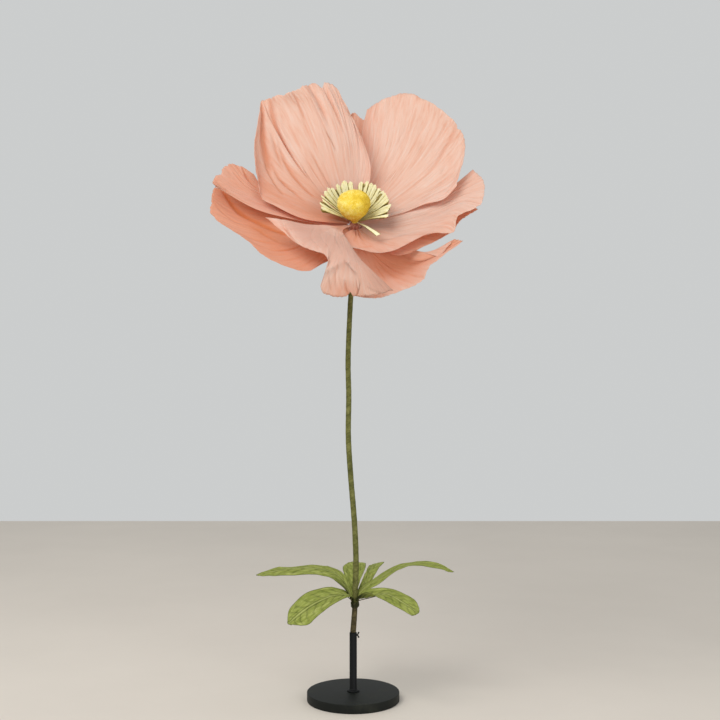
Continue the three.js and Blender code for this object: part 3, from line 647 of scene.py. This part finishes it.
def makePetal(name, look):
    seed = look["seed"] * 7.3

    def trim(u):
        cut = abs(wander((u * 24, seed, 0))) * 2 + wander((u * 70, seed, 4))
        notch = sum(deep * max(0, 1 - abs(u - at) / half) for at, half, deep in look.get("notches", []))
        return 1 - look["ragged"] * (0.3 + cut) - notch

    def lift(u, v):
        swell = min(1, v * 6) * (0.25 + 0.75 * v)
        pleat = wander((u * 26, v * 1.3, seed)) + 0.4 * wander((u * 60, v * 3, seed))
        return swell * look["ripple"] * pleat + foldDepth(look["folds"], u, v)

    def tone(u, v):
        # painted shade: dark rays near the foot, darker along the creases, and the listed patches
        rays = max(0, wander((u * 38, seed, 9))) * 2 * max(0, 1 - v / hub["shadeRayReach"])
        crease = max(0, -foldDepth(look["folds"], u, v)) * hub["creaseShadeShare"]
        return shadePatches(look["paintedShades"], u, v) + rays + min(0.5, crease)

    spreadSheet(f"petal_{name}_crepe", ribsFromHub(look), *look["size"], trim, lift, bloomPlace,
                hub["paperThick"], f"petal_{name}", "petal_paper", petalPaper, look.get("slack"), tone)


for petalName, petalShape in petals.items():
    makePetal(petalName, petalShape)
print("petals done")


# leaves

leafAnchor = Vector((3.8, 0, 232))
leaves = {
    "left": [
        [[-7, 0, 30], [-33, 20, 70], [-104, 45, 87], [-182, 38, 78], [-232, 12, 67]],
        [[-11, -10, 27], [-45, 0, 68], [-105, 10, 80], [-176, 14, 75], [-236, 8, 64]],
        [[-14, -20, 24], [-56, -25, 63], [-101, -28, 72], [-172, -16, 67], [-231, 4, 62]]],
    "front_left": [
        [[-9, -5, 21], [-58, -30, 43], [-112, -80, 39], [-146, -130, 15], [-151, -160, -7]],
        [[-7, -14, 19], [-51, -58, 28], [-97, -110, 18], [-130, -148, 1], [-149, -165, -13]],
        [[-8, -21, 17], [-36, -78, 20], [-76, -135, 5], [-104, -165, -14], [-139, -172, -13]]],
    "back": [
        [[-9, 8, 23], [-23, 50, 51], [-30, 100, 66], [-15, 150, 70]],
        [[-2, 12, 13], [-2, 50, 39], [-2, 100, 59], [-3, 155, 70]],
        [[4, 8, 23], [16, 50, 51], [26, 100, 65], [27, 150, 69]]],
    "back_right": [
        [[5, 17, 19], [18, 50, 45], [28, 95, 58], [36, 130, 66]],
        [[6, 15, 17], [25, 44, 40], [39, 86, 64], [51, 131, 70]],
        [[10, 10, 18], [34, 30, 36], [56, 68, 65], [75, 127, 77]]],
    "right": [
        [[8, 6, 26], [41, 22, 49], [95, 42, 78], [143, 44, 89], [195, 24, 91], [233, 12, 74]],
        [[10, 0, 23], [46, 6, 48], [94, 14, 76], [142, 18, 90], [194, 14, 86], [237, 10, 71]],
        [[12, -5, 19], [53, -10, 44], [100, -15, 78], [141, -10, 90], [196, 2, 81], [230, 8, 70]]],
    "front_right": [
        [[8, -8, 13], [29, -20, 36], [87, -42, 41], [135, -80, 26], [150, -116, 8]],
        [[6, -13, 9], [31, -36, 20], [73, -66, 34], [113, -100, 20], [146, -121, 2]],
        [[5, -18, 15], [27, -50, 34], [63, -90, 27], [103, -122, 11], [135, -126, -6]]],
}
leafShape = {
    "columns": 56, "rows": 110, "thick": 0.6 * mm, "veins": 11, "veinDepth": 1.3, "wave": 1.8,
    "pinch": 9.0, "footDrop": -9,
}
# shaded places of a leaf: [across, along, width, length, amount]
leafShades = {
    "left": [[0.95, 0.24, 0.30, 0.12, 0.8]],
    "front_left": [[0.95, 0.12, 0.45, 0.10, 1.1]],
    "front_right": [[0.85, 0.20, 0.42, 0.17, 1.3]],
}
leafDips = {"left": [[0.0, 0.52, 0.0, 0.82, 0.5, -7]]}


def leafRibs(ribs):
    return [[leafAnchor + Vector(knot) for knot in rib] for rib in ribs]


def rootedRibs(ribs):
    # the paper's foot is pinched in against the stem, down to the sleeve's middle
    feet = [roundAxis(headingOf(rib[0]), leafShape["pinch"], leafShape["footDrop"]) for rib in ribs]
    return leafRibs([[foot] + rib for foot, rib in zip(feet, ribs)])


def makeLeaf(name, ribs, seed):
    def trim(u):
        return 1 - 0.012 * abs(wander((u * 14, seed, 3))) - 0.03 * abs(2 * u - 1) ** 3

    def veinAt(u, v):
        # 1 along each side vein, which leaves the midrib and runs out towards the tip
        side = abs(u - 0.5) * 2
        sway = 0.03 * wander((u * 6, v * 5, seed * 3.7))
        gap = abs(((v - side * 0.16 + sway) * leafShape["veins"]) % 1 - 0.5) * 2
        return smoothBump((1 - gap) * 4) * min(1, side * 5) * (1 - side ** 4)

    def lift(u, v):
        side = abs(u - 0.5) * 2
        wave = wander((u * 3, v * 9, seed * 5.1)) * side
        crumple = 0.5 * wander((u * 9, v * 22, seed))
        dip = foldDepth(leafDips.get(name, []), u, v)
        return leafShape["wave"] * wave + crumple + dip - leafShape["veinDepth"] * veinAt(u, v)

    def tone(u, v):
        side = abs(u - 0.5) * 2
        speck = wander((u * 12, v * 40, seed * 1.9))
        outline = 0.75 * max(0, side - 0.94) / 0.06 + 0.6 * max(0, v - 0.985) / 0.015
        midrib = -0.7 * smoothBump(side * 22) + 0.5 * smoothBump((side - 0.09) * 18)
        # painted shade near the root and on the leaf's shaded places
        root = 1.1 * max(0, 1 - v / 0.17) + shadePatches(leafShades.get(name, []), u, v)
        # darker along the veins and at the edges and tip, lighter down the midrib with darker lines beside
        # it, and dark specks
        return 0.40 * veinAt(u, v) + outline + midrib * min(1, v * 4) + root + 0.35 * max(0, speck - 0.25)

    spreadSheet(f"leaf_{name}_crepe", rootedRibs(ribs), leafShape["columns"], leafShape["rows"], trim,
                lift, metres, leafShape["thick"], f"leaf_{name}", "leaf_paper", leafPaper, tone=tone)


for seed, (leafName, leafOutline) in enumerate(leaves.items()):
    makeLeaf(leafName, leafOutline, seed)
print("leaves done")


# stem

stem = {
    "socketTop": 161,
    "sway": [[0.13, 6.7], [0.262, 2.9], [0.407, -5.7], [0.539, -11.5], [0.671, -10.6], [0.802, -12],
             [1, -5.7]],
    "straightTop": 963, "hubBottom": -24, "bindingBottom": -62, "rodEnd": -10,
    "seam": 224, "sides": 40, "lowStep": 2, "highStep": 4, "gap": 0.6,
    "lowRadius": (6.9, 6.2), "lowPitch": 16, "highRadius": (6.7, 5.8), "highPitch": 22,
}


def stemKnots():
    # the same centre line as the CAD's: straight in the socket, a lean, a sway, the bent neck
    axis = Vector((0, -sin(hub["tilt"]), cos(hub["tilt"])))
    top, low, leafZ, coneFoot = stem["straightTop"], stem["socketTop"], leafAnchor.z, stem["bindingBottom"]
    knots = [Vector((0, 0, z)) for z in (0, low / 2, low - 16, low + 3)]
    knots += [leafAnchor + Vector((0, 0, z)) for z in (-15, 9)]
    knots += [Vector((x, 0, leafZ + share * (top - leafZ))) for share, x in stem["sway"]]
    neckEnd = hub["place"] + axis * coneFoot
    middleX = (stem["sway"][-1][1] + 2 * hub["place"].x) / 3
    knots.append(Vector((middleX, neckEnd.y * 0.22, top + (neckEnd.z - top) * 0.52)))
    reaches = (coneFoot - 12, coneFoot - 2, coneFoot + 18, stem["hubBottom"] - 4, stem["rodEnd"])
    return knots + [hub["place"] + axis * reach for reach in reaches]


stemCurve = [splinePoint(stemKnots(), i / 900) for i in range(901)]


def stretchOfStem(low, high, step):
    # points about one step apart between two heights
    points = [p for p in stemCurve if low <= p.z <= high]
    kept = [points[0]]
    for point in points[1:]:
        if (point - kept[-1]).length >= step:
            kept.append(point)
    return kept


def sweptTube(name, points, radiusAt, sides, node, slot, material):
    # a ring of points extruded along the path
    bm = bmesh.new()
    layer = bm.verts.layers.float_vector.new("wound")
    heading = (points[1] - points[0]).normalized()
    turn = heading.to_track_quat("Z", "X").to_matrix().to_4x4()
    now = Matrix.Translation(points[0]) @ turn
    made = bmesh.ops.create_circle(bm, cap_ends=False, segments=sides, radius=1.0)
    ring, length = made["verts"], 0.0
    corners = {vertex: vertex.co.copy() for vertex in ring}

    def setRing(ringCorners, frameNow, share, far):
        for vertex, corner in ringCorners.items():
            radius = radiusAt(share, headingOf(corner), far)
            vertex.co = frameNow @ (corner * radius)
            vertex[layer] = (corner.x, corner.y, far * mm)

    setRing(corners, now, 0.0, 0.0)
    first = list(corners)
    edges = list(bm.edges)
    total = pathLength(points)
    for i in range(1, len(points)):
        ahead = (points[min(i + 1, len(points) - 1)] - points[i - 1]).normalized()
        turn = heading.rotation_difference(ahead).to_matrix().to_4x4() @ turn
        heading = ahead
        now = Matrix.Translation(points[i]) @ turn
        length += (points[i] - points[i - 1]).length
        before = {tuple(vertex.co): corner for vertex, corner in corners.items()}
        grown = bmesh.ops.extrude_edge_only(bm, edges=edges)["geom"]
        corners = {item: before[tuple(item.co)] for item in grown if isinstance(item, bmesh.types.BMVert)}
        edges = [item for item in grown if isinstance(item, bmesh.types.BMEdge)]
        setRing(corners, now, length / total, length)
    bmesh.ops.contextual_create(bm, geom=first)
    bmesh.ops.contextual_create(bm, geom=list(corners))
    bmesh.ops.recalc_face_normals(bm, faces=bm.faces)
    bmesh.ops.scale(bm, vec=(mm, mm, mm), verts=bm.verts)
    objectOf(name, bm, node, slot, material)


def tapeRadius(ends, pitch, seed):
    # tapers from one end radius to the other, with a step where each turn overlaps the last
    def radius(share, angle, far):
        phase = (far / pitch - angle / (2 * pi)) % 1
        overlap = 0.35 * min(1, phase * 8) * (1 - phase)
        lump = wander((cos(angle), sin(angle), far * 0.03 + seed))
        return ends[0] + (ends[1] - ends[0]) * share + overlap + 0.25 * lump
    return radius


lowTape = stretchOfStem(stem["socketTop"] + stem["gap"], stem["seam"] - stem["gap"], stem["lowStep"])
sweptTube("stem_tape_lower", lowTape,
          tapeRadius(stem["lowRadius"], stem["lowPitch"], 3), stem["sides"], "stem_wrap_lower",
          "brown_tape", brownTape)
stemTop = hub["place"].z + (stem["hubBottom"] - 2) * cos(hub["tilt"])
sweptTube("stem_tape_upper", stretchOfStem(stem["seam"], stemTop, stem["highStep"]),
          tapeRadius(stem["highRadius"], stem["highPitch"], 8), stem["sides"], "stem_wrap_upper",
          "olive_tape", oliveTape)
print("stem done")


# leaf wires

# each wire runs below its leaf's midrib, by half the CAD's sheet, a gap and its own radius
wires = {
    "ring": 8.2, "radius": 1.0, "drop": 0.4 + 0.9 + 1.0, "sides": 12, "steps": 60,
    "rise": (-10, -5, 0, 4), "shares": (0.06, 0.13, 0.2, 0.3, 0.4, 0.5, 0.6, 0.7, 0.8, 0.9),
}


def makeWire(name, ribs):
    placed = leafRibs(ribs)
    points = [leafAnchor + roundAxis(headingOf(ribs[1][1]), wires["ring"], z) for z in wires["rise"]]
    for v in wires["shares"]:
        across = sheetPoint(placed, 0.55, v) - sheetPoint(placed, 0.45, v)
        down = across.cross(sheetPoint(placed, 0.5, v + 0.02) - sheetPoint(placed, 0.5, v - 0.02))
        down.normalize()
        if down.z > 0:
            down.negate()
        points.append(sheetPoint(placed, 0.5, v) + down * wires["drop"])
    path = [splinePoint(points, i / wires["steps"]) for i in range(wires["steps"] + 1)]
    sweptTube(f"leaf_wire_{name}_wrapped", path, lambda share, angle, far: wires["radius"], wires["sides"],
              f"leaf_wire_{name}", "wire_wrap", brownTape)


for leafName, leafOutline in leaves.items():
    makeWire(leafName, leafOutline)
print("wires done")


# turned pieces

def turnedPiece(name, profile, sides, place, node, slot, material, closed=False, shape=None):
    # a profile in r, z spun round the axis
    bm = bmesh.new()
    spots = [bm.verts.new((r, 0, z)) for r, z in profile]
    pairs = list(zip(spots, spots[1:])) + ([(spots[-1], spots[0])] if closed else [])
    edges = [bm.edges.new(pair) for pair in pairs]
    bmesh.ops.spin(bm, geom=spots + edges, cent=(0, 0, 0), axis=(0, 0, 1), angle=2 * pi, steps=sides,
                   use_merge=True)
    bmesh.ops.remove_doubles(bm, verts=bm.verts, dist=1e-4)
    bmesh.ops.recalc_face_normals(bm, faces=bm.faces)
    if shape:
        shape(bm)
    bmesh.ops.transform(bm, matrix=place, verts=bm.verts)
    objectOf(name, bm, node, slot, material)


def roundedProfile(corners, radius, steps=5):
    # rounds each inner corner of a profile by the radius
    points = [Vector((r, z)) for r, z in corners]
    made = [points[0]]
    for before, corner, after in zip(points, points[1:], points[2:]):
        into, out = (before - corner), (after - corner)
        cut = min(radius, into.length * 0.45, out.length * 0.45)
        a, b = corner + into.normalized() * cut, corner + out.normalized() * cut
        for i in range(steps + 1):
            t = i / steps
            made.append(a * (1 - t) ** 2 + corner * 2 * t * (1 - t) + b * t ** 2)
    made.append(points[-1])
    return [(p.x, p.y) for p in made]


base = {
    "radius": 110, "height": 21, "edge": 1.6, "tube": 8.8, "bore": 4.6, "collar": 15, "gap": 0.3,
    "discSides": 160, "tubeSides": 64,
}
discCorners = [(0, 0), (base["radius"], 0), (base["radius"], base["height"]), (0, base["height"])]
turnedPiece("base_disc", roundedProfile(discCorners, base["edge"]), base["discSides"], metres,
            "base_plate", "base_paint", blackPaint)

# up the collar and the tube, over the mouth and back down the bore
foot, mouth = base["height"] + base["gap"], stem["socketTop"]
tube, bore, collar = base["tube"], base["bore"], base["collar"]
socketProfile = [
    (bore, foot), (collar - 0.4, foot), (collar, foot + 0.5), (collar - 0.5, foot + 2.4),
    (collar - 1.6, foot + 3.1), (tube + 2.6, foot + 3.6), (tube + 0.9, foot + 4.6), (tube, foot + 7),
    (tube, mouth - 0.8), (tube - 0.8, mouth), (bore + 0.5, mouth), (bore, mouth - 0.5),
]
turnedPiece("socket_tube", socketProfile, base["tubeSides"], metres, "stem_socket", "base_paint",
            shadedTubePaint, closed=True)


def woundLayer(bm):
    # the tape materials need each point's place round the axis and along it
    layer = bm.verts.layers.float_vector.new("wound")
    for vertex in bm.verts:
        far = max(vertex.co.xy.length, 1e-6)
        vertex[layer] = (vertex.co.x / far, vertex.co.y / far, vertex.co.z * mm)


# a short cone of tape, widest where the leaves come out of it, in a darker copy of the tape as painted shade
# under the leaves
sleeveProfile = [(7.2, -12), (7.8, -11.6), (8.8, -7), (9.9, -2), (10.1, 0.6), (7.2, 0.8)]
turnedPiece("leaf_sleeve_tape", sleeveProfile, 48, metres @ Matrix.Translation(leafAnchor),
            "leaf_sleeve", "olive_tape", darkTape, closed=True, shape=woundLayer)


# heart of the bloom

gather = {"radius": 13.3, "rim": 1, "pleats": 17, "depth": 0.8}


def gathered(bm):
    # radial pleats down the cone, with painted shade over it, darkest in their valleys
    layer = bm.verts.layers.float_vector.new("paper")
    for vertex in bm.verts:
        x, y, z = vertex.co
        far, angle = (x * x + y * y) ** 0.5, headingOf(vertex.co)
        wave = sin(angle * gather["pleats"] + 3 * wander(Vector((x, y, 0)) * 0.15))
        if z > gather["rim"] - 1:
            vertex.co.z = z + gather["depth"] * (wave - 1) * min(1, far / 5)
        # painted shade: 0.45 everywhere, up to 1 in the pleat valleys
        vertex[layer] = (angle * gather["radius"] * mm, far * mm, 0.45 + 0.55 * max(0, -wave))


hubCorners = [(0, stem["hubBottom"]), (gather["radius"], stem["hubBottom"]),
              (gather["radius"], gather["rim"]), (8, hub["top"]), (0, hub["top"])]
turnedPiece("hub_gather", roundedProfile(hubCorners, 3), 160, bloomPlace, "bloom_hub", "petal_paper",
            heartPaper, shape=gathered)

pistilShape = {
    "outline": [[0, 0.01], [0.19, 0.01], [0.22, 0.08], [0.46, 0.2], [0.76, 0.36], [0.95, 0.53], [1, 0.67],
                [0.91, 0.82], [0.66, 0.93], [0.34, 0.985], [0, 1]],
    "radius": 38.5, "length": 79, "gathers": 26, "gatherDepth": 0.9, "crumple": 1.1, "lean": radians(-3),
}
pistilPlace = (bloomPlace @ Matrix.Translation((0, 0, hub["top"] + 0.3))
               @ Matrix.Rotation(pistilShape["lean"], 4, "Y"))


def crumpled(bm):
    bm.normal_update()
    moves = {}
    for vertex in bm.verts:
        angle, height = headingOf(vertex.co), vertex.co.z / pistilShape["length"]
        fold = sin(angle * pistilShape["gathers"] + 2 * wander(vertex.co * 0.05)) * max(0, 0.75 - height)
        crumple = wander(vertex.co * 0.11) + 0.6 * abs(wander(vertex.co * 0.24)) * 2
        push = pistilShape["gatherDepth"] * fold + pistilShape["crumple"] * crumple - 1
        moves[vertex] = vertex.normal * push
    for vertex, move in moves.items():
        vertex.co += move


profileKnots = [Vector((r * pistilShape["radius"], z * pistilShape["length"], 0))
                for r, z in pistilShape["outline"]]
pistilProfile = [splinePoint(profileKnots, i / 90) for i in range(91)]
turnedPiece("pistil_crumpled", [(max(p.x, 0), p.y) for p in pistilProfile], 220, pistilPlace, "pistil",
            "pistil_paper", pistilPaper, shape=crumpled)

fringes = {
    # the pistil's foot, half the CAD's strip and a gap
    "footRadius": 0.19 * pistilShape["radius"] + 0.4 + 0.3,
    "length": 91, "rise": 0.5, "slitFoot": 0.2, "paperThick": 0.5 * mm,
    # from and to in degrees round the axis, and the number of tongues
    "sides": {"right": (-27, 84, 13), "left": (92, 187, 11)},
    # [radians over the CAD's rise, share of the length, part of a strip aside]
    "layers": [[0.0, 1.0, 0.0], [-0.07, 0.95, 0.5]],
}


def makeFringe(name, fromAngle, toAngle, strips):
    # two layers of pleated tongues, each with a length, twist and curl of its own
    bm = bmesh.new()
    layer = bm.verts.layers.float_vector.new("paper")
    for level, (fall, size, aside) in enumerate(fringes["layers"]):
        for strip in range(strips - level):
            made = bmesh.ops.create_grid(bm, x_segments=12, y_segments=48, size=0.5)["verts"]
            seed = strip * 3.7 + len(name) + level * 51

            def chance(k, seed=seed):
                return wander((seed * 1.37, k * 2.3, 0.4)) * 1.7

            middle = radians(fromAngle + (toAngle - fromAngle) * (strip + aside + 0.5) / strips)
            longer = size * (0.88 + 0.13 * max(0, sin(middle)) + 0.04 * chance(1))
            roll, curl, lean = 9 * chance(2), 0.07 * chance(3), 0.20 * chance(4)
            for vertex in made:
                u, v = vertex.co.x + 0.5, vertex.co.y + 0.5
                side = 2 * u - 1
                free = max(0, (v - fringes["slitFoot"]) / (1 - fringes["slitFoot"]))
                width = 1.04 - 0.12 * free * (1 - free) - 0.04 * (free > 0)
                frayed = 0.03 * wander((seed, u * 9, 7)) + 0.07 * abs(side) ** 3
                reach = v * longer * (1 - frayed * v)
                part = strip + aside + 0.5 + side / 2 * width + lean * free
                crinkle = 0.010 * wander((seed, v * 16, 1)) + 0.02 * wander((seed, v * 4, 2))
                angle = radians(fromAngle + (toAngle - fromAngle) * part / strips) + crinkle * free
                pleat = 1.5 * (1 - abs((u * 3) % 1 - 0.5) * 2) * v + 3.2 * (1 - abs(side)) * v
                wobble = 1.3 * wander((seed, v * 7, u * 2)) * v
                rise = fringes["rise"] + (fall + 0.10 * sin(angle) * v) * free + curl * free * free
                out = fringes["footRadius"] + reach * fringes["length"] * cos(rise)
                height = hub["top"] + 4 + reach * fringes["length"] * sin(rise) - 1.2 * level * v
                height += pleat + wobble + roll * side * free * 0.5
                vertex.co = roundAxis(angle, out, height)
                # paler towards the tips, with painted shade in the slits between tongues and on the lower
                # layer
                shade = 0.7 * v - 1.8 * abs(side) ** 8 - 1.1 * level
                vertex[layer] = (part * 0.012, reach * 0.09, shade)
    bmesh.ops.transform(bm, matrix=bloomPlace, verts=bm.verts)
    piece = objectOf(f"stamens_{name}", bm, f"stamen_fringe_{name}", "stamen_paper", strawPaper)
    thicken(piece, fringes["paperThick"])


for sideName, (fromAngle, toAngle, strips) in fringes["sides"].items():
    makeFringe(sideName, fromAngle, toAngle, strips)

loose = {"edge": [(7.5, 2, 9), (40, 3.5, 18), (68, 5, 22), (92, 6.5, 23)], "heading": radians(-55)}
looseRibs = [[Vector((x, side * y, z)) for x, y, z in loose["edge"]] for side in (1, -1)]
spreadSheet("stamen_loose", looseRibs, 8, 30, lambda u: 1, lambda u, v: 0.5 * sin(v * 9) * v,
            bloomPlace @ Matrix.Rotation(loose["heading"], 4, "Z"), fringes["paperThick"],
            "stamen_strip_loose", "stamen_paper", strawPaper,
            # a pale strip, darker at both edges
            tone=lambda u, v: 0.9 - 2 * abs(2 * u - 1) ** 6)
print("heart done")


# carried-over CAD pieces

finishes = {"wing_screw": blackPaint, "stem_rod": blackPaint, "bloom_binding": oliveTape}
for nodeName, material in finishes.items():
    mesh = bpy.data.objects[nodeName].data
    mesh.materials.clear()
    mesh.materials.append(material)


# stage, light and camera

floor = {"half": 3.0, "drop": -0.0003}
floorMesh = bmesh.new()
bmesh.ops.create_grid(floorMesh, x_segments=1, y_segments=1, size=floor["half"])
bmesh.ops.translate(floorMesh, vec=(0, 0, floor["drop"]), verts=floorMesh.verts)
linked("floor", meshOf("floor", floorMesh, floorStone))

# the camera and the glossy rays see a plain wall, all other rays a soft white light
studio = {"wall": (0.60, 0.612, 0.612, 1), "ambient": (0.95, 0.98, 1.0, 1), "ambientStrength": 0.60}
sky = Recipe(bpy.data.worlds.new("studio"))
seen = sky.node("ShaderNodeBackground", {}, {"Color": studio["wall"]})
lit = sky.node("ShaderNodeBackground", {},
               {"Color": studio["ambient"], "Strength": studio["ambientStrength"]})
cameraRay = sky.node("ShaderNodeLightPath", out="Is Camera Ray")
glossyRay = sky.node("ShaderNodeLightPath", out="Is Glossy Ray")
anySight = sky.maths("MAXIMUM", cameraRay, glossyRay)
bpy.context.scene.world = sky.finish(sky.blend(anySight, lit, seen), "ShaderNodeOutputWorld")

lamps = {
    "keyLamp": {
        "place": (-1.8, -2.3, 3.6), "aim": (0, 0, 1.1), "size": 3.2, "watts": 116, "tint": (1.0, 0.98, 0.95),
    },
    "fillLamp": {
        "place": (1.7, -2.9, 1.0), "aim": (0, 0, 1.0), "size": 2.2, "watts": 34, "tint": (0.95, 0.98, 1.0),
    },
}
for lampName, look in lamps.items():
    light = bpy.data.lights.new(lampName, "AREA")
    light.shape = "DISK"
    light.size = look["size"]
    light.energy = look["watts"]
    light.color = look["tint"]
    lamp = linked(lampName, light)
    lamp.location = look["place"]
    aim = Vector(look["aim"]) - Vector(look["place"])
    lamp.rotation_euler = aim.to_track_quat("-Z", "Y").to_euler()

view = {"place": (0.0162, -2.70, 0.81), "turn": (radians(90), 0, 0), "lens": 56.65, "sensor": 36}
cameraData = bpy.data.cameras.new("camera")
cameraData.sensor_width = view["sensor"]
cameraData.lens = view["lens"]
cameraObject = linked("camera", cameraData)
cameraObject.location = view["place"]
cameraObject.rotation_euler = view["turn"]
bpy.context.scene.camera = cameraObject
bpy.context.scene.view_settings.view_transform = "Standard"
print("stage ready")
